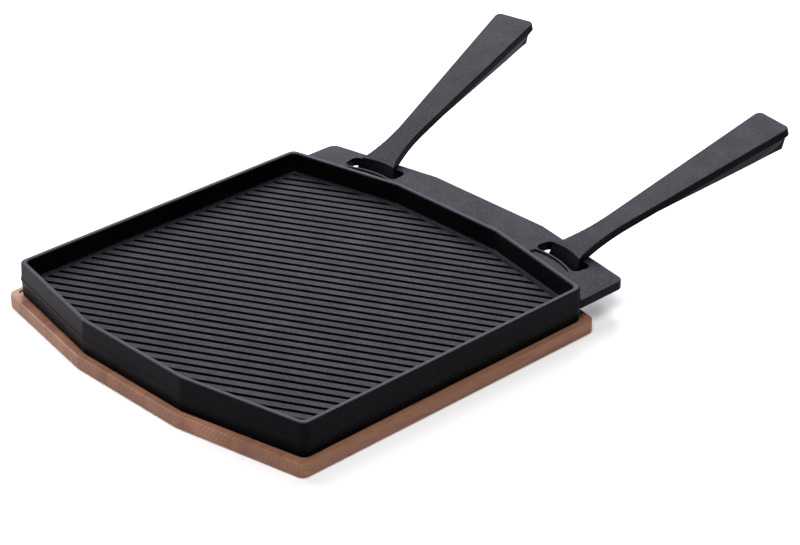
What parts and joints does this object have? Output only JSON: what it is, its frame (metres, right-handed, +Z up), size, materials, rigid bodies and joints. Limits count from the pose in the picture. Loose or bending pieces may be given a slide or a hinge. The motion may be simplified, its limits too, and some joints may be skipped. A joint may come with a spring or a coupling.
{
  "type": "reversible sizzler plate",
  "caption": "Cast-iron plate with a deep ribbed tray on one face and a shallow flat tray on the other, hook-in handles at the back and a shaped wooden base.",
  "frame": {"origin": "middle of the plate in plan, on the table under the wooden base", "axes": "+X across the plate to the right as seen from the front, +Y towards the handles, +Z up"},
  "size_m": [0.312, 0.5111, 0.0841],
  "materials": {
    "base_wood": "oiled, satin",
    "plate_iron": "seasoned, fine cast grain",
    "handle_iron": "seasoned, fine cast grain"
  },
  "bodies": {
    "base": {"base_stave_1": "base_wood", "base_stave_2": "base_wood", "base_stave_3": "base_wood", "base_stave_4": "base_wood", "base_stave_5": "base_wood", "base_stave_6": "base_wood", "base_stave_7": "base_wood", "base_stave_8": "base_wood", "base_stave_9": "base_wood"},
    "plate": {"plate": "plate_iron"},
    "handle_left": {"handle_left": "handle_iron"},
    "handle_right": {"handle_right": "handle_iron"}
  },
  "joints": [
    {"name": "plate_turn_over", "type": "hinge", "parent": "base", "child": "plate", "pos_m": [0.158, 0, 0.112], "axis": [0, 1, 0], "range_deg": [0, 180]},
    {"name": "handle_left_tilt", "type": "hinge", "parent": "plate", "child": "handle_left", "pos_m": [-0.09819, 0.16854, 0.0215], "axis": [0.9833, 0.1822, 0], "range_deg": [0, 50]},
    {"name": "handle_right_tilt", "type": "hinge", "parent": "plate", "child": "handle_right", "pos_m": [0.09819, 0.16854, 0.0215], "axis": [0.9833, -0.1822, 0], "range_deg": [0, 50]}
  ]
}
